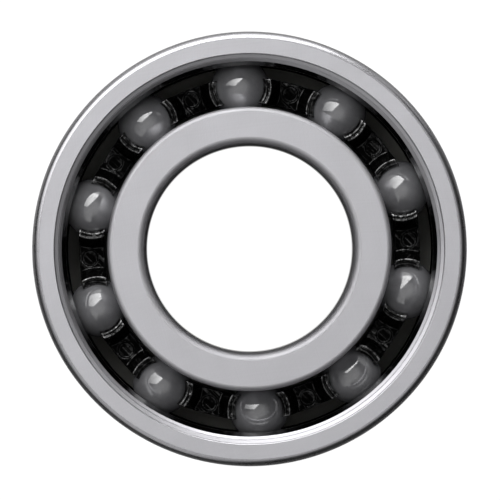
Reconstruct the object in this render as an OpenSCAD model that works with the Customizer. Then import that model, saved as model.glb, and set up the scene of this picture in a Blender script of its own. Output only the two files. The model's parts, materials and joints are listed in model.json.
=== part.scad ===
// Single-row deep groove ball bearing of the open type, 17 x 35 x 10 mm.
// Two steel rings, ten ceramic balls and a one-piece moulded snap cage.
// The bearing's axis is +Z. The origin is on that axis, at the middle of the rings' width.
// The cage's open side, with its prongs, faces +Z.

/* [Boundary] */
// Bore diameter, the seat for the shaft
bore_d = 17; // [16:0.1:17.4]
// Outside diameter, the seat for the housing
outside_d = 35; // [34.6:0.1:38]
// Width of both rings
width = 10; // [9.6:0.1:12]

/* [Balls] */
// Ball diameter
ball_d = 4.762; // [4.7:0.001:4.8]
// Diameter of the circle through the ball centres
pitch_d = 26.34; // [26.3:0.01:26.38]
// Angle of the first ball from +X at rest
first_ball_angle = 21.3; // [0:0.1:36]
// Gap left between a ball and the bottom of each raceway
race_gap = 0.012; // [0.01:0.001:0.03]

/* [Inner ring] */
// Diameter of the lands on each side of the raceway
inner_land_d = 22.88; // [22.6:0.02:23.2]
// Corner radius at the bore
bore_corner_r = 0.52; // [0.3:0.01:0.6]
// Corner radius at the land
inner_land_corner_r = 0.4; // [0.2:0.01:0.5]
// Raceway groove radius as a share of the ball diameter
inner_conformity = 0.515; // [0.51:0.001:0.53]

/* [Outer ring] */
// Diameter of the lands on each side of the raceway
outer_land_d = 29.7; // [29.5:0.05:29.9]
// Corner radius at the outside diameter
outside_corner_r = 0.6; // [0.3:0.01:0.7]
// Raceway groove radius as a share of the ball diameter
outer_conformity = 0.525; // [0.515:0.001:0.54]
// Diameter of the lip at the mouth of each side recess
recess_lip_d = 31.3; // [31.2:0.05:31.4]
// Rounding of that lip's edge
recess_lip_r = 0.15; // [0.1:0.01:0.3]
// Depth from the face to the middle of the shield groove under the lip
shield_groove_depth = 0.92; // [0.85:0.01:1]
// Radius of the shield groove
shield_groove_r = 0.4; // [0.3:0.01:0.42]

/* [Cage] */
// Inside diameter
cage_inner_d = 23.66; // [23.5:0.02:24]
// Outside diameter
cage_outer_d = 27.78; // [27.6:0.02:28.2]
// Gap left all round a ball in its pocket
pocket_gap = 0.07; // [0.05:0.005:0.1]
// Height of the prong tips above the ball centres
prong_tip_z = 1.78; // [1.7:0.01:1.85]
// Radius of the pocket's lead-in edge at the prong tips
lead_in_r = 2.12; // [2.08:0.01:2.16]
// Radius of a prong's outer edge at its tip, about the ball's centre
prong_tip_r = 2.6; // [2.5:0.01:2.7]
// Radius of a prong's outer side at its foot, about the ball's centre
prong_foot_r = 3.2; // [3:0.01:3.4]
// Depth of the recess floor between prongs below the ball centres
web_floor_depth = 0.5; // [0.3:0.05:0.8]
// Depth of the cage's back below the ball centres
cage_back_depth = 3.5; // [3.3:0.05:3.8]
// Diameter of the round ejector mark in each recess floor
ejector_mark_d = 1.3; // [0.8:0.1:1.5]

/* [Hidden] */

$fn = 128;
CUT = 0.1;        // how far a cutter reaches past the surface that it cuts
ball_count = 10;

ball_r = ball_d / 2;
pitch_r = pitch_d / 2;
ball_step = 360 / ball_count;
half_width = width / 2;

bore_r = bore_d / 2;
inner_land_r = inner_land_d / 2;
inner_groove_r = ball_d * inner_conformity;
inner_groove_centre = pitch_r - ball_r - race_gap + inner_groove_r;

outside_r = outside_d / 2;
outer_land_r = outer_land_d / 2;
outer_groove_r = ball_d * outer_conformity;
outer_groove_centre = pitch_r + ball_r + race_gap - outer_groove_r;

// the recess on each side of the outer ring steps down from the lip to the land
recess_lip_radius = recess_lip_d / 2;
groove_floor_z = half_width - shield_groove_depth;
ramp_top = [recess_lip_radius - 0.03, half_width - 1.28];
ramp_mid = [recess_lip_radius - 0.25, half_width - 1.40];
ramp_end = [recess_lip_radius - 0.5, half_width - 1.52];
land_edge_z = half_width - 2.2;

cage_inner_r = cage_inner_d / 2;
cage_outer_r = cage_outer_d / 2;
cage_depth = cage_outer_r - cage_inner_r;   // from its bore to its outside
pocket_r = ball_r + pocket_gap;
web_floor_z = -web_floor_depth;
cage_back_z = -cage_back_depth;
cage_edge = 0.25;         // chamfer on the cage's back edges
prong_edge = 0.08;        // chamfer on the prongs' outer tip edge
prong_step = 0.18;        // upright step at a prong's foot
prong_rim_width = 0.14;   // raised rim along a prong tip's outer edge
prong_rim_height = 0.06;
lead_in_depth = 0.24;     // depth of the lead-in chamfer at the pocket's mouth
ejector_mark_depth = 0.12;
ejector_mark_r = cage_inner_r + 1.19;
slot_depth = 1.6;         // the cored slots in the cage's back
slot_length = 2.6;
slot_wall = 0.5;

// ---- shared shapes ----

// Cuts a square corner at [x, y] to a radius; out_x and out_y are 1 or -1 and point out of the corner
module corner_cut(x, y, radius, out_x, out_y) {
    translate([x, y]) scale([out_x, out_y]) difference() {
        translate([-radius, -radius]) square(radius + CUT);
        translate([-radius, -radius]) circle(radius);
    }
}

// Puts its children once on every ball's centre line, offset by a part of the step between balls
module at_each_ball(offset = 0) {
    for (index = [0 : ball_count - 1])
        rotate(first_ball_angle + (index + offset) * ball_step) translate([pitch_r, 0]) children();
}

// ---- outer ring ----

// Half of the outer ring's section above the middle plane, without its grooves
module outer_ring_half_section() {
    difference() {
        polygon([
            [outer_land_r, -CUT], [outside_r, -CUT], [outside_r, half_width],
            [recess_lip_radius, half_width], [recess_lip_radius, ramp_top[1]],
            ramp_top, ramp_mid, ramp_end, [outer_land_r, land_edge_z]
        ]);
        corner_cut(outside_r, half_width, outside_corner_r, 1, 1);
        corner_cut(recess_lip_radius, half_width, recess_lip_r, -1, 1);
        translate([recess_lip_radius, groove_floor_z]) circle(shield_groove_r);
    }
}

module outer_ring() {
    color("#b6b5b9") rotate_extrude() difference() {
        union() {
            outer_ring_half_section();
            mirror([0, 1]) outer_ring_half_section();
        }
        translate([outer_groove_centre, 0]) circle(outer_groove_r);
    }
}

// ---- inner ring ----

module inner_ring() {
    color("#b6b5b9") rotate_extrude() difference() {
        translate([bore_r, -half_width]) square([inner_land_r - bore_r, width]);
        for (side = [-1, 1]) {
            corner_cut(bore_r, side * half_width, bore_corner_r, -1, side);
            corner_cut(inner_land_r, side * half_width, inner_land_corner_r, 1, side);
        }
        translate([inner_groove_centre, 0]) circle(inner_groove_r);
    }
}

// ---- cage ----

// The continuous ring at the cage's back, up to the floor of the recesses between prongs
module cage_body() {
    rotate_extrude() polygon([
        [cage_inner_r + cage_edge, cage_back_z], [cage_outer_r - cage_edge, cage_back_z],
        [cage_outer_r, cage_back_z + cage_edge], [cage_outer_r, web_floor_z],
        [cage_inner_r, web_floor_z], [cage_inner_r, cage_back_z + cage_edge]
    ]);
}

// The solid round a pocket, from which the two prongs are left
module prong_block() {
    rim_z = prong_tip_z + prong_rim_height;
    rim_inner_r = prong_tip_r - prong_rim_width;
    rotate_extrude() polygon([
        [0, web_floor_z - 2 * CUT], [prong_foot_r, web_floor_z - 2 * CUT],
        [prong_foot_r, web_floor_z + prong_step],
        [prong_tip_r, rim_z - prong_edge], [prong_tip_r - prong_edge, rim_z],
        [rim_inner_r, rim_z], [rim_inner_r - prong_rim_height, prong_tip_z],
        [0, prong_tip_z]
    ]);
}

module prongs() {
    intersection() {
        rotate_extrude() translate([cage_inner_r, web_floor_z - CUT])
            square([cage_depth, prong_tip_z + prong_rim_height - web_floor_z + 2 * CUT]);
        at_each_ball() prong_block();
    }
}

// The ball's space, and the chamfer that leads the ball in past the prong tips
module pocket() {
    sphere(pocket_r);
    translate([0, 0, prong_tip_z - lead_in_depth])
        cylinder(h = lead_in_depth + CUT, r1 = lead_in_r - lead_in_depth, r2 = lead_in_r + CUT);
}

// The cored slots behind the webs, which keep the moulded wall even
module back_slots() {
    intersection() {
        rotate_extrude() translate([cage_inner_r + slot_wall, cage_back_z - CUT])
            square([cage_depth - 2 * slot_wall, slot_depth + CUT]);
        at_each_ball(0.5)
            translate([-cage_depth, -slot_length / 2, cage_back_z - 2 * CUT])
                cube([2 * cage_depth, slot_length, slot_depth + 4 * CUT]);
    }
}

module cage() {
    color("#161617") difference() {
        union() {
            cage_body();
            prongs();
        }
        at_each_ball() pocket();
        at_each_ball(0.5) translate([ejector_mark_r - pitch_r, 0, web_floor_z - ejector_mark_depth])
            cylinder(h = ejector_mark_depth + CUT, d = ejector_mark_d);
        back_slots();
    }
}

// ---- balls ----

module ball(number) {
    color("#5b5c60")
        rotate(first_ball_angle + (number - 1) * ball_step) translate([pitch_r, 0]) sphere(ball_r);
}

outer_ring();
inner_ring();
cage();
ball(1);  // ball_01
ball(2);  // ball_02
ball(3);  // ball_03
ball(4);  // ball_04
ball(5);  // ball_05
ball(6);  // ball_06
ball(7);  // ball_07
ball(8);  // ball_08
ball(9);  // ball_09
ball(10);  // ball_10
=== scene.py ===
"""Looks of an open deep groove ball bearing: two ground steel rings, ten ceramic balls and a moulded cage.

The bearing lies flat on a pale floor and is seen along its own axis. A large slanted panel beyond its far
side is the main light, and a sheet overhead, three weaker panels and the floor itself fill in the rest.
Lengths in the outlines and in the materials are in millimetres; everything else in Blender is in metres.
"""

import json
import math

import bmesh
import bpy
from mathutils import Matrix, Vector

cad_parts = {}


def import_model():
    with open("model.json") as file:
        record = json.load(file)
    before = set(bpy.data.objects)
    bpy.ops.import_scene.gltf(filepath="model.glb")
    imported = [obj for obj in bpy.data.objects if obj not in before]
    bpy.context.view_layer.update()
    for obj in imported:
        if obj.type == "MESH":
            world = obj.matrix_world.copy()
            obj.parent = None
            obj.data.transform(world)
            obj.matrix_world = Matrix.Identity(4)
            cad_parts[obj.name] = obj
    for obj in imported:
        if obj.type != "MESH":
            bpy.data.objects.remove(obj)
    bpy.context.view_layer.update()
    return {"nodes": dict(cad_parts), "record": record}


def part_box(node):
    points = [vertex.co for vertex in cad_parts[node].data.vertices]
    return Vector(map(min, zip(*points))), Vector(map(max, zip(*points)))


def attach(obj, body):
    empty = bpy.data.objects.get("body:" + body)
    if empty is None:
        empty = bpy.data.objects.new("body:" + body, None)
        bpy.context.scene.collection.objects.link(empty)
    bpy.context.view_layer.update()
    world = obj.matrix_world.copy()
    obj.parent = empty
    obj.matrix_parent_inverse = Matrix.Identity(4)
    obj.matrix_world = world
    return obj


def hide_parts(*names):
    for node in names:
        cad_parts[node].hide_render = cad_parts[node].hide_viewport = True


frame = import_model()

MM = 0.001
BALLS = sorted(name for name in frame["nodes"] if name.startswith("ball_"))

# ---- sizes, from the frame and the record ----

outer_low, outer_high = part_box("outer_ring")
_, inner_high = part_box("inner_ring")
ball_low, ball_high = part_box(BALLS[0])
mounts = {mount["name"]: mount["dims"] for mount in frame["record"]["mounts"]}

half_width = outer_high.z / MM
outside_r = mounts["outside_seat"]["r_mm"]
outside_corner_r = half_width - mounts["outside_seat"]["length_mm"] / 2
bore_r = mounts["bore"]["r_mm"]
bore_corner_r = half_width - mounts["bore"]["length_mm"] / 2
inner_land_r = inner_high.x / MM
ball_r = (ball_high.z - ball_low.z) / 2 / MM
ball_centre = (ball_low + ball_high) / 2 / MM
pitch_r = math.hypot(ball_centre.x, ball_centre.y)

# the same proportions as the CAD model's rings
RACE_GAP = 0.012
INNER_GROOVE_R = 2 * ball_r * 0.515
OUTER_GROOVE_R = 2 * ball_r * 0.525
INNER_LAND_CORNER_R = 0.4
OUTER_LAND_R = 14.85
LIP_R = 15.65
LIP_ROUND = 0.1
SHIELD_GROOVE_Z = half_width - 0.92
SHIELD_GROOVE_R = 0.4
EDGE_BREAK = 0.04        # rounding of edges that the grinder leaves nearly sharp
CAGE_FACE = 0.05         # size of the faces that the cage is remeshed with
CAGE_SOFTENING = 8       # rounds of smoothing on the cage

RING_STEPS = 384         # faces round a ring
ARC_STEP = 6             # degrees between points on a rounded corner
HOLD_INSET = 0.012       # from each end of a straight run to the point that keeps its shading flat
SHORTEST_HELD_RUN = 0.2  # a shorter run needs no such points

# ---- outlines ----


def arc(centre_r, centre_z, radius, start, end, finish):
    """Outline points on an arc, from one angle to the other in degrees; 0 points away from the axis."""
    steps = max(2, round(abs(end - start) / ARC_STEP * 2))
    points = []
    for i in range(steps + 1):
        turn = math.radians(start + (end - start) * i / steps)
        points.append((centre_r + radius * math.cos(turn), centre_z + radius * math.sin(turn), 0, finish))
    return points


def rounded(corners, edge_finish):
    """A closed outline with its corners rounded.

    Each corner is its distance from the axis, its height, its rounding and the finish of the run after it.
    """
    points = []
    for i, (r, z, rounding, finish) in enumerate(corners):
        here = Vector((r, z))
        if rounding == 0:
            points.append((here, finish))
            continue
        before = Vector(corners[i - 1][:2]) - here
        after = Vector(corners[(i + 1) % len(corners)][:2]) - here
        half_angle = before.angle(after) / 2
        reach = rounding / math.tan(half_angle)
        start = here + before.normalized() * reach
        end = here + after.normalized() * reach
        inwards = (before.normalized() + after.normalized()).normalized()
        centre = here + inwards * rounding / math.sin(half_angle)
        sweep = math.pi - 2 * half_angle
        steps = max(3, round(math.degrees(sweep) / ARC_STEP))
        turn = (start - centre).angle_signed(end - centre)
        for step in range(steps + 1):
            spoke = (start - centre).copy()
            spoke.rotate(Matrix.Rotation(-turn * step / steps, 2))
            points.append((centre + spoke, finish if step == steps else edge_finish))
    return points


def with_holds(points):
    """Adds a point close to each end of a straight run, so that smooth shading stays flat along it."""
    held = []
    for i, (point, finish) in enumerate(points):
        run = points[(i + 1) % len(points)][0] - point
        held.append((point, finish))
        if run.length > SHORTEST_HELD_RUN:
            inset = run.normalized() * HOLD_INSET
            held.append((point + inset, finish))
            held.append((point + run - inset, finish))
    return held


def mirrored(upper):
    """A whole ring's outline from the half above its middle plane."""
    lower = []
    for i in range(len(upper) - 1, -1, -1):
        r, z, rounding, _ = upper[i]
        if z == 0:
            continue
        finish = upper[i - 1][3] if i > 0 else upper[0][3]
        lower.append((r, -z, rounding, finish))
    return upper + lower


def outer_ring_outline():
    groove_centre = pitch_r + ball_r + RACE_GAP - OUTER_GROOVE_R
    groove_angle = math.degrees(math.acos((OUTER_LAND_R - groove_centre) / OUTER_GROOVE_R))
    break_angle = math.degrees(EDGE_BREAK / OUTER_GROOVE_R)
    groove_edge_z = OUTER_GROOVE_R * math.sin(math.radians(groove_angle))
    return mirrored(
        [
            (outside_r, 0, 0, "seat"),
            (outside_r, half_width, outside_corner_r, "face"),
            (LIP_R, half_width, LIP_ROUND, "turned"),
        ]
        + arc(LIP_R, SHIELD_GROOVE_Z, SHIELD_GROOVE_R, 84, -66, "turned")
        + [
            # the ramp under the shield groove, with the fine step turned across it
            (LIP_R - 0.22, half_width - 1.385, 0.03, "turned"),
            (LIP_R - 0.25, half_width - 1.425, 0.02, "turned"),
            (LIP_R - 0.28, half_width - 1.415, 0.03, "turned"),
            # from here to the raceway, darker steel: painted shade
            (LIP_R - 0.5, half_width - 1.52, 0.03, "shaded_land"),
            # the land, as far as the raceway
            (OUTER_LAND_R, half_width - 2.2, 0.03, "shaded_land"),
            (OUTER_LAND_R, groove_edge_z + EDGE_BREAK, 0, "shaded_land"),
        ]
        + arc(groove_centre, 0, OUTER_GROOVE_R, groove_angle - break_angle, 0, "raceway")[:-1]
    )


def inner_ring_outline():
    groove_centre = pitch_r - ball_r - RACE_GAP + INNER_GROOVE_R
    groove_angle = math.degrees(math.acos((groove_centre - inner_land_r) / INNER_GROOVE_R))
    break_angle = math.degrees(EDGE_BREAK / INNER_GROOVE_R)
    groove_edge_z = INNER_GROOVE_R * math.sin(math.radians(groove_angle))
    race = arc(groove_centre, 0, INNER_GROOVE_R, 180, 180 - groove_angle + break_angle, "raceway")[1:]
    return mirrored(
        race
        + [
            (inner_land_r, groove_edge_z + EDGE_BREAK, 0, "turned"),
            (inner_land_r, half_width, INNER_LAND_CORNER_R, "face"),
            (bore_r, half_width, bore_corner_r, "bore"),
            (bore_r, 0, 0, "bore"),
        ]
    )


def lathe(name, corners, edge_finish, materials):
    """A ring turned from a closed outline; each finish in the outline is one of the materials."""
    points = with_holds(rounded(corners, edge_finish))
    mesh = bpy.data.meshes.new(name)
    slots = list(materials)
    vertices = []
    for step in range(RING_STEPS):
        turn = 2 * math.pi * step / RING_STEPS
        for point, _ in points:
            vertices.append((point.x * MM * math.cos(turn), point.x * MM * math.sin(turn), point.y * MM))
    count = len(points)
    faces = []
    for step in range(RING_STEPS):
        here, there = step * count, (step + 1) % RING_STEPS * count
        for i in range(count):
            after = (i + 1) % count
            faces.append((here + i, there + i, there + after, here + after))
    mesh.from_pydata(vertices, [], faces)
    for slot in slots:
        mesh.materials.append(materials[slot])
    finish_slots = [slots.index(finish) for _, finish in points]
    mesh.polygons.foreach_set("material_index", finish_slots * RING_STEPS)
    mesh.polygons.foreach_set("use_smooth", [True] * len(faces))
    mesh.update()
    ring = bpy.data.objects.new(name, mesh)
    bpy.context.scene.collection.objects.link(ring)
    return facing_out(ring)


def facing_out(piece):
    """Turns all of a closed mesh's faces outwards."""
    work = bmesh.new()
    work.from_mesh(piece.data)
    bmesh.ops.recalc_face_normals(work, faces=work.faces)
    work.to_mesh(piece.data)
    work.free()
    return piece


# ---- material helpers ----


class Nodes:
    """Builds one node material, with short calls for the nodes that the finishes here share."""

    def __init__(self, name):
        self.material = bpy.data.materials.new(name)
        self.material.use_nodes = True
        self.tree = self.material.node_tree
        self.tree.nodes.clear()
        self.shader = self.add("ShaderNodeBsdfPrincipled")
        self.output = self.add("ShaderNodeOutputMaterial")
        self.link(self.shader.outputs["BSDF"], self.output.inputs["Surface"])
        coordinates = self.add("ShaderNodeTexCoord")
        in_mm = self.add("ShaderNodeVectorMath", operation="SCALE")
        in_mm.inputs["Scale"].default_value = 1 / MM
        self.link(coordinates.outputs["Object"], in_mm.inputs[0])
        self.place = in_mm.outputs[0]

    def add(self, kind, **settings):
        node = self.tree.nodes.new(kind)
        for key, value in settings.items():
            setattr(node, key, value)
        return node

    def link(self, source, target):
        self.tree.links.new(source, target)

    def feed(self, target, value):
        """Puts a number, a colour or another node's output into an input."""
        if isinstance(value, bpy.types.NodeSocket):
            self.link(value, target)
        else:
            target.default_value = value

    def math(self, operation, a, b=0.0):
        node = self.add("ShaderNodeMath", operation=operation)
        self.feed(node.inputs[0], a)
        self.feed(node.inputs[1], b)
        return node.outputs[0]

    def noise(self, place, scale, detail=2.0, roughness=0.5):
        node = self.add("ShaderNodeTexNoise", noise_dimensions="3D")
        self.feed(node.inputs["Vector"], place)
        node.inputs["Scale"].default_value = scale
        node.inputs["Detail"].default_value = detail
        node.inputs["Roughness"].default_value = roughness
        return node.outputs["Fac"]

    def line_noise(self, distance, scale, detail=2.0):
        """Noise along one length only, so that it makes lines where that length stays the same."""
        node = self.add("ShaderNodeTexNoise", noise_dimensions="1D")
        self.feed(node.inputs["W"], distance)
        node.inputs["Scale"].default_value = scale
        node.inputs["Detail"].default_value = detail
        return node.outputs["Fac"]

    def range(self, value, low, high, to_low=0.0, to_high=1.0):
        node = self.add("ShaderNodeMapRange")
        self.feed(node.inputs["Value"], value)
        ends = {"From Min": low, "From Max": high, "To Min": to_low, "To Max": to_high}
        for key, number in ends.items():
            node.inputs[key].default_value = number
        return node.outputs["Result"]

    def mix(self, share, first, second):
        node = self.add("ShaderNodeMix", data_type="RGBA")
        self.feed(node.inputs["Factor"], share)
        self.feed(node.inputs["A"], first)
        self.feed(node.inputs["B"], second)
        return node.outputs["Result"]

    def from_axis(self):
        """Distance from the bearing's axis and height above its middle plane, in millimetres."""
        parts = self.add("ShaderNodeSeparateXYZ")
        self.link(self.place, parts.inputs[0])
        flat = self.add("ShaderNodeCombineXYZ")
        self.link(parts.outputs["X"], flat.inputs["X"])
        self.link(parts.outputs["Y"], flat.inputs["Y"])
        length = self.add("ShaderNodeVectorMath", operation="LENGTH")
        self.link(flat.outputs[0], length.inputs[0])
        return length.outputs["Value"], parts.outputs["Z"]

    def from_point(self, x, y):
        """Distance from an upright line through a point beside the bearing, in millimetres."""
        offset = self.add("ShaderNodeVectorMath", operation="SUBTRACT")
        self.link(self.place, offset.inputs[0])
        offset.inputs[1].default_value = (x, y, 0)
        flat = self.add("ShaderNodeVectorMath", operation="MULTIPLY")
        self.link(offset.outputs[0], flat.inputs[0])
        flat.inputs[1].default_value = (1, 1, 0)
        length = self.add("ShaderNodeVectorMath", operation="LENGTH")
        self.link(flat.outputs[0], length.inputs[0])
        return length.outputs["Value"]

    def bump(self, height, strength, distance):
        node = self.add("ShaderNodeBump")
        node.inputs["Strength"].default_value = strength
        node.inputs["Distance"].default_value = distance * MM
        self.link(height, node.inputs["Height"])
        self.link(node.outputs["Normal"], self.shader.inputs["Normal"])

    def set(self, **inputs):
        for key, value in inputs.items():
            self.feed(self.shader.inputs[key.replace("_", " ")], value)


# ---- materials ----

STEEL_LIGHT = (0.655, 0.65, 0.68, 1)
STEEL_DARK = (0.58, 0.575, 0.60, 1)
# the outside seat's steel, paler than the faces' steel: partly painted light, which brightens the outer wall
SEAT_LIGHT = (0.83, 0.825, 0.85, 1)
SEAT_DARK = (0.75, 0.745, 0.77, 1)
EDGE_LIGHT = (0.56, 0.555, 0.58, 1)
EDGE_DARK = (0.49, 0.485, 0.505, 1)
BLASTED_LIGHT = (0.61, 0.605, 0.63, 1)
BLASTED_DARK = (0.54, 0.535, 0.555, 1)
RECESS_LIGHT = (0.52, 0.515, 0.54, 1)
RECESS_DARK = (0.44, 0.435, 0.455, 1)
# the outer ring's land and the foot of its ramp: steel darkened as painted shade
LAND_SHADE_LIGHT = (0.26, 0.26, 0.265, 1)
LAND_SHADE_DARK = (0.2, 0.2, 0.205, 1)
CERAMIC_LIGHT = (0.2, 0.2, 0.209, 1)
CERAMIC_DARK = (0.135, 0.135, 0.141, 1)
POLYMER_LIGHT = (0.003, 0.003, 0.003, 1)
POLYMER_DARK = (0.001, 0.001, 0.001, 1)
FLOOR_PALE = (0.52, 0.52, 0.51, 1)
# paler beside the ring: painted light on the floor, seen in the ring's reflections
FLOOR_PAINTED_LIGHT_NEAR = (0.62, 0.62, 0.61, 1)
FLOOR_FAR = (0.45, 0.45, 0.44, 1)
# darkest away from the main light, fading to FLOOR_FAR far off: painted shade
FLOOR_PAINTED_SHADE = (0.07, 0.07, 0.07, 1)
# the floor in the bore, darker: painted shade under the inner ring
FLOOR_SHADE_IN_BORE = (0.1, 0.1, 0.1, 1)
# the floor under the bearing, seen through the gap: painted shade, with a faint random tone between these
# two
FLOOR_SHADE_UNDER_PALE = (0.34, 0.34, 0.32, 1)
FLOOR_SHADE_UNDER_DEEP = (0.28, 0.28, 0.26, 1)

# the ground faces' scratches: the middle of each set of arcs, in millimetres, and its fineness
ARC_CENTRES = [(95, 20, 9.0), (-80, 60, 11.0), (15, -110, 7.0)]


def ground_face():
    """Side face ground flat between two wheels: fine crossing arcs of very large radius, satin."""
    nodes = Nodes("ground_face")
    scratches = [
        nodes.line_noise(nodes.from_point(x, y), scale, 3.0)
        for x, y, scale in ARC_CENTRES
    ]
    total = nodes.math("ADD", nodes.math("ADD", scratches[0], scratches[1]), scratches[2])
    patches = nodes.noise(nodes.place, 0.35, 2.0)
    tone = nodes.math("ADD", nodes.math("MULTIPLY", total, 0.33), nodes.math("MULTIPLY", patches, 0.5))
    nodes.set(
        Base_Color=nodes.mix(nodes.range(tone, 0.45, 1.05), STEEL_DARK, STEEL_LIGHT),
        Metallic=1.0,
        Roughness=nodes.range(tone, 0.4, 1.1, 0.42, 0.5),
    )
    nodes.bump(total, 0.25, 0.004)
    return nodes.material


def turned_lines(name, base_low, base_high, roughness, strength):
    """Steel with fine lines round the bearing's axis."""
    nodes = Nodes(name)
    radius, height = nodes.from_axis()
    along = nodes.math("ADD", radius, height)
    lines = nodes.line_noise(along, 14.0, 4.0)
    patches = nodes.noise(nodes.place, 0.6, 3.0)
    tone = nodes.math("ADD", nodes.math("MULTIPLY", lines, 0.6), nodes.math("MULTIPLY", patches, 0.4))
    nodes.set(
        Base_Color=nodes.mix(nodes.range(tone, 0.3, 0.7), base_low, base_high),
        Metallic=1.0,
        Roughness=nodes.range(tone, 0.3, 0.7, roughness * 0.85, roughness * 1.15),
    )
    nodes.bump(lines, strength, 0.003)
    return nodes.material


def ceramic():
    """Polished silicon nitride: dark grey, with a faint cloud of lighter and darker grains."""
    nodes = Nodes("polished_ceramic")
    clouds = nodes.noise(nodes.place, 0.9, 4.0, 0.6)
    grains = nodes.noise(nodes.place, 14.0, 2.0, 0.7)
    tone = nodes.math("ADD", nodes.math("MULTIPLY", clouds, 0.6), nodes.math("MULTIPLY", grains, 0.4))
    nodes.set(
        Base_Color=nodes.mix(nodes.range(tone, 0.3, 0.7), CERAMIC_DARK, CERAMIC_LIGHT),
        Metallic=0.0,
        IOR=2.15,
        Roughness=nodes.range(grains, 0.3, 0.7, 0.05, 0.08),
    )
    return nodes.material


def moulded_polymer():
    """Black glass-filled polymer whose reflection is painted: nearly none on its textured flats, as painted
    shade, and bright along its edges, where the mesh is sharp, as a painted highlight.

    The painted highlight is broken by specks, and dimmer down in the recesses than on the prongs, as painted
    shade.
    """
    nodes = Nodes("moulded_polymer")
    texture = nodes.noise(nodes.place, 7.0, 3.0, 0.6)
    specks = nodes.range(nodes.noise(nodes.place, 5.0, 2.0, 0.5), 0.6, 0.68)
    relief = nodes.math("ADD", nodes.math("MULTIPLY", texture, 0.12), specks)
    flow = nodes.noise(nodes.place, 1.1, 3.0, 0.6)
    # the reflection's strength is painted: a painted highlight on sharp edges, painted shade on the flats
    pointiness = nodes.add("ShaderNodeNewGeometry").outputs["Pointiness"]
    edges = nodes.math("ABSOLUTE", nodes.math("SUBTRACT", pointiness, 0.5))
    broken = nodes.range(nodes.noise(nodes.place, 2.6, 3.0, 0.7), 0.4, 0.6, 0.15, 1.25)
    _, height = nodes.from_axis()
    # painted shade: the painted highlight is lowered down in the recesses
    recess_shade_and_breaks = nodes.math("MULTIPLY", nodes.range(height, 0.0, 1.2, 0.45, 1.1), broken)
    painted_edge_sheen = nodes.math("MULTIPLY", nodes.range(edges, 0.004, 0.05, 0.012, 1.0), recess_shade_and_breaks)
    nodes.set(
        Base_Color=nodes.mix(nodes.range(flow, 0.35, 0.65), POLYMER_DARK, POLYMER_LIGHT),
        Roughness=nodes.range(flow, 0.3, 0.7, 0.1, 0.16),
        IOR=2.0,
        Specular_IOR_Level=painted_edge_sheen,
    )
    nodes.bump(relief, 0.5, 0.02)
    return nodes.material


# the finishes along the rings' outlines; the two edge finishes are each ring's own
STEEL = {
    "face": ground_face(),
    "seat": turned_lines("ground_seat", SEAT_DARK, SEAT_LIGHT, 0.34, 0.3),
    "bore": turned_lines("ground_bore", STEEL_DARK, STEEL_LIGHT, 0.31, 0.3),
    "tumbled": turned_lines("tumbled_edge", EDGE_DARK, EDGE_LIGHT, 0.28, 0.15),
    "blasted": turned_lines("blasted_edge", BLASTED_DARK, BLASTED_LIGHT, 0.62, 0.15),
    "turned": turned_lines("turned_recess", RECESS_DARK, RECESS_LIGHT, 0.38, 0.25),
    # painted shade on the outer ring's land
    "shaded_land": turned_lines("land_painted_shade", LAND_SHADE_DARK, LAND_SHADE_LIGHT, 0.2, 0.15),
    "raceway": turned_lines("honed_raceway", STEEL_DARK, STEEL_LIGHT, 0.08, 0.05),
}
CERAMIC = ceramic()
POLYMER = moulded_polymer()

# ---- pieces ----


def place(piece, node, slot):
    """Puts a piece in its CAD node's place, on the same body."""
    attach(piece, node)
    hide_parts(node)


def ball(node):
    """A ball as an even mesh of small faces, centred on its own origin."""
    low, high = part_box(node)
    mesh = bpy.data.meshes.new(node + "_polished")
    work = bmesh.new()
    bmesh.ops.create_icosphere(work, subdivisions=6, radius=ball_r * MM)
    work.to_mesh(mesh)
    work.free()
    mesh.polygons.foreach_set("use_smooth", [True] * len(mesh.polygons))
    mesh.materials.append(CERAMIC)
    piece = bpy.data.objects.new(node + "_polished", mesh)
    bpy.context.scene.collection.objects.link(piece)
    piece.location = (low + high) / 2
    return piece


def moulded_cage():
    """The cage with the soft edges of a moulding: its CAD solid, remeshed finely and smoothed."""
    mesh = frame["nodes"]["cage"].data.copy()
    mesh.name = "cage_moulded"
    mesh.transform(Matrix.Scale(1 / MM, 4))
    piece = bpy.data.objects.new("cage_moulded", mesh)
    bpy.context.scene.collection.objects.link(piece)
    remesh = piece.modifiers.new("remesh", "REMESH")
    remesh.mode = "VOXEL"
    remesh.voxel_size = CAGE_FACE
    remesh.use_smooth_shade = True
    smooth = piece.modifiers.new("smooth", "SMOOTH")
    smooth.factor = 0.5
    smooth.iterations = CAGE_SOFTENING
    applied = bpy.data.meshes.new_from_object(piece.evaluated_get(bpy.context.evaluated_depsgraph_get()))
    piece.modifiers.clear()
    applied.transform(Matrix.Scale(MM, 4))
    applied.materials.clear()
    applied.materials.append(POLYMER)
    applied.name = "cage_moulded"
    piece.data = applied
    return piece


place(lathe("outer_ring_ground", outer_ring_outline(), "tumbled", STEEL), "outer_ring", "ring_steel")
place(lathe("inner_ring_ground", inner_ring_outline(), "blasted", STEEL), "inner_ring", "ring_steel")
place(moulded_cage(), "cage", "cage_polymer")
for name in BALLS:
    place(ball(name), name, "ball_ceramic")

# ---- floor, light and camera ----

FLOOR_GLOW = 1.12        # what the camera sees of the floor is mostly this glow, so that shadows stay faint
FLOOR_GLOW_SHARE = 0.93


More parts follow.
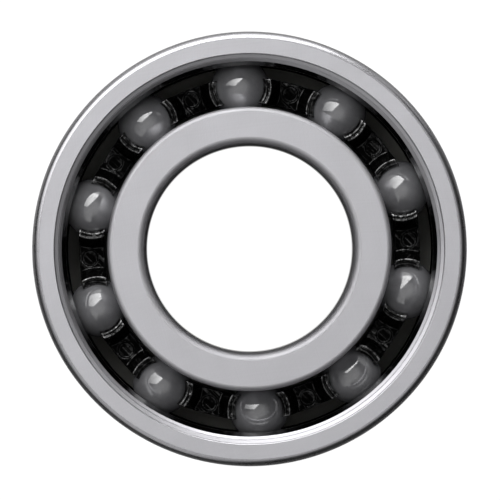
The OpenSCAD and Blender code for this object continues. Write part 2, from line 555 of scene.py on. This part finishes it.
def floor_material():
    """A pale floor, which the camera sees as a clean white sweep, except for painted shade under the
    bearing.

    In reflections it is grey, with painted shade darkest away from the main light, painted light beside the
    ring, and paler again far off.
    """
    nodes = Nodes("pale_floor")
    from_axis, _ = nodes.from_axis()
    outside = nodes.range(from_axis, outside_r, outside_r + 0.35)
    inside = nodes.range(from_axis, bore_r, bore_r - 0.1)
    beyond_gap = nodes.range(from_axis, LIP_R - 0.2, LIP_R)
    beside_ring = nodes.range(from_axis, outside_r + 18, outside_r + 7)
    parts = nodes.add("ShaderNodeSeparateXYZ")
    nodes.link(nodes.place, parts.inputs[0])
    sideways = nodes.math("MULTIPLY", parts.outputs["X"], 0.27)
    towards_key = nodes.range(nodes.math("SUBTRACT", parts.outputs["Y"], sideways), -10, 45)
    tone = nodes.noise(nodes.place, 0.02, 2.0)
    # under the bearing and in the bore: painted shade
    shade_under_gap = nodes.mix(tone, FLOOR_SHADE_UNDER_DEEP, FLOOR_SHADE_UNDER_PALE)
    under = nodes.mix(inside, shade_under_gap, FLOOR_SHADE_IN_BORE)
    # painted shade away from the main light, fading out far off, and painted light beside the ring
    far_off = nodes.range(from_axis, 90, 170)
    shade_away_from_key = nodes.mix(far_off, FLOOR_PAINTED_SHADE, FLOOR_FAR)
    around = nodes.mix(beside_ring, nodes.mix(towards_key, shade_away_from_key, FLOOR_PALE), FLOOR_PAINTED_LIGHT_NEAR)
    nodes.set(Base_Color=nodes.mix(beyond_gap, under, around), Roughness=0.9, Specular_IOR_Level=0.1)
    glow = nodes.add("ShaderNodeEmission")
    glow.inputs["Strength"].default_value = FLOOR_GLOW
    seen = nodes.add("ShaderNodeLightPath").outputs["Is Camera Ray"]
    clear = nodes.math("MULTIPLY", nodes.math("ADD", outside, inside), seen)
    mixed = nodes.add("ShaderNodeMixShader")
    nodes.link(nodes.math("MULTIPLY", clear, FLOOR_GLOW_SHARE), mixed.inputs["Fac"])
    nodes.link(nodes.shader.outputs["BSDF"], mixed.inputs[1])
    nodes.link(glow.outputs[0], mixed.inputs[2])
    nodes.link(mixed.outputs[0], nodes.output.inputs["Surface"])
    return nodes.material


def floor():
    size = 3.0
    mesh = bpy.data.meshes.new("floor")
    corners = [(-size, -size, 0), (size, -size, 0), (size, size, 0), (-size, size, 0)]
    mesh.from_pydata(corners, [], [(0, 1, 2, 3)])
    mesh.materials.append(floor_material())
    plane = bpy.data.objects.new("floor", mesh)
    bpy.context.scene.collection.objects.link(plane)
    plane.location.z = outer_low.z


DOME_R = 0.8             # metres from the bearing to the light panels


def light(name, vertices, faces, nodes, strength):
    """A glowing sheet that lights the scene and shows in reflections, and that the camera doesn't see."""
    mesh = bpy.data.meshes.new(name)
    mesh.from_pydata(vertices, [], faces)
    emission = nodes.add("ShaderNodeEmission")
    nodes.link(strength, emission.inputs["Strength"])
    nodes.link(emission.outputs[0], nodes.output.inputs["Surface"])
    mesh.materials.append(nodes.material)
    sheet = bpy.data.objects.new(name, mesh)
    bpy.context.scene.collection.objects.link(sheet)
    sheet.visible_camera = False


def dome_spot(turn, tilt):
    """A place on the dome, flattened: it points along the azimuth, and is as long as its tilt in degrees."""
    return Vector((math.cos(math.radians(turn)), math.sin(math.radians(turn)))) * tilt


def between(first, second, share):
    """A place between two, in azimuth and in angle from the vertical."""
    turn = first[0] + (second[0] - first[0]) * share
    tilt = first[1] + (second[1] - first[1]) * share
    return dome_spot(turn, tilt)


def panel(name, corners, radiance, straight=False):
    """A curved light panel, part of a dome over the bearing, dimmer towards -X and uneven like lit cloth.

    Each of its four corners is an azimuth and an angle from the vertical, in degrees. The first two are at
    its near edge, which is straight or follows the dome.
    """
    steps = 12
    first, second, third, fourth = corners
    vertices = []
    for row in range(steps + 1):
        for column in range(steps + 1):
            share = column / steps
            far = between(fourth, third, share)
            if straight:
                near = dome_spot(*first).lerp(dome_spot(*second), share)
            else:
                near = between(first, second, share)
            spot = near.lerp(far, row / steps)
            tilt = math.radians(spot.length)
            side = spot.normalized() * math.sin(tilt) * DOME_R
            vertices.append((side.x, side.y, math.cos(tilt) * DOME_R))
    faces = []
    for row in range(steps):
        for column in range(steps):
            corner = row * (steps + 1) + column
            faces.append((corner, corner + 1, corner + steps + 2, corner + steps + 1))
    nodes = Nodes(name)
    parts = nodes.add("ShaderNodeSeparateXYZ")
    nodes.link(nodes.place, parts.inputs[0])
    across = nodes.range(parts.outputs["X"], -650, 50, 0.2, 1.1)
    cloth = nodes.range(nodes.noise(nodes.place, 0.012, 3.0), 0.35, 0.65, 0.88, 1.12)
    strength = nodes.math("MULTIPLY", nodes.math("MULTIPLY", across, cloth), radiance)
    light(name, vertices, faces, nodes, strength)


def overhead(radiance, full, gone):
    """A soft sheet of light right above, which fades out between two angles from the vertical."""
    steps = 64
    rings = 24
    hole = 0.5           # degrees from the vertical, where the sheet's faces would meet in one point
    vertices = []
    for ring in range(rings + 1):
        tilt = math.radians(hole + (gone - hole) * ring / rings)
        for step in range(steps):
            turn = 2 * math.pi * step / steps
            side = math.sin(tilt) * DOME_R
            vertices.append((side * math.cos(turn), side * math.sin(turn), math.cos(tilt) * DOME_R))
    faces = []
    for ring in range(rings):
        for step in range(steps):
            after = (step + 1) % steps
            near = ring * steps
            far = near + steps
            faces.append((near + step, near + after, far + after, far + step))
    nodes = Nodes("overhead")
    _, height = nodes.from_axis()
    tilt = nodes.math("ARCCOSINE", nodes.math("DIVIDE", height, DOME_R / MM))
    strength = nodes.range(tilt, math.radians(full), math.radians(gone), radiance, 0.0)
    light("overhead", vertices, faces, nodes, strength)


def world():
    """Nearly dark surroundings, which the camera sees as the same white as the floor."""
    bpy.context.scene.world = bpy.data.worlds.new("studio")
    bpy.context.scene.world.use_nodes = True
    tree = bpy.context.scene.world.node_tree
    background = tree.nodes["Background"]
    background.inputs["Color"].default_value = (1, 1, 1, 1)
    seen = tree.nodes.new("ShaderNodeLightPath").outputs["Is Camera Ray"]
    strength = tree.nodes.new("ShaderNodeMapRange")
    strength.inputs["To Min"].default_value = 0.02
    strength.inputs["To Max"].default_value = 1.0
    tree.links.new(seen, strength.inputs["Value"])
    tree.links.new(strength.outputs["Result"], background.inputs["Strength"])


def camera():
    """Straight above the bearing, as far off as its own perspective says."""
    height = 392 * MM
    view_width = 40.18 * MM
    lens = bpy.data.cameras.new("camera")
    lens.sensor_width = 36
    lens.lens = lens.sensor_width * (height - outer_high.z) / view_width
    lens.shift_x = 0.001
    lens.shift_y = -0.0022
    lens.clip_start = 0.01
    lens.clip_end = 20
    eye = bpy.data.objects.new("camera", lens)
    bpy.context.scene.collection.objects.link(eye)
    eye.location = (0, 0, height)
    bpy.context.scene.camera = eye


floor()
overhead(0.56, 20, 44)
panel("key", [(66, 46), (165, 20), (172, 60), (66, 60)], 4.4, straight=True)
panel("key_skirt", [(66, 61), (150, 61), (140, 88), (66, 88)], 1.3)
panel("side", [(34, 58), (65, 58), (65, 86), (34, 86)], 0.5)
panel("fill", [(188, 20), (262, 24), (262, 58), (185, 60)], 0.9)
world()
camera()
bpy.context.scene.view_settings.view_transform = "Standard"
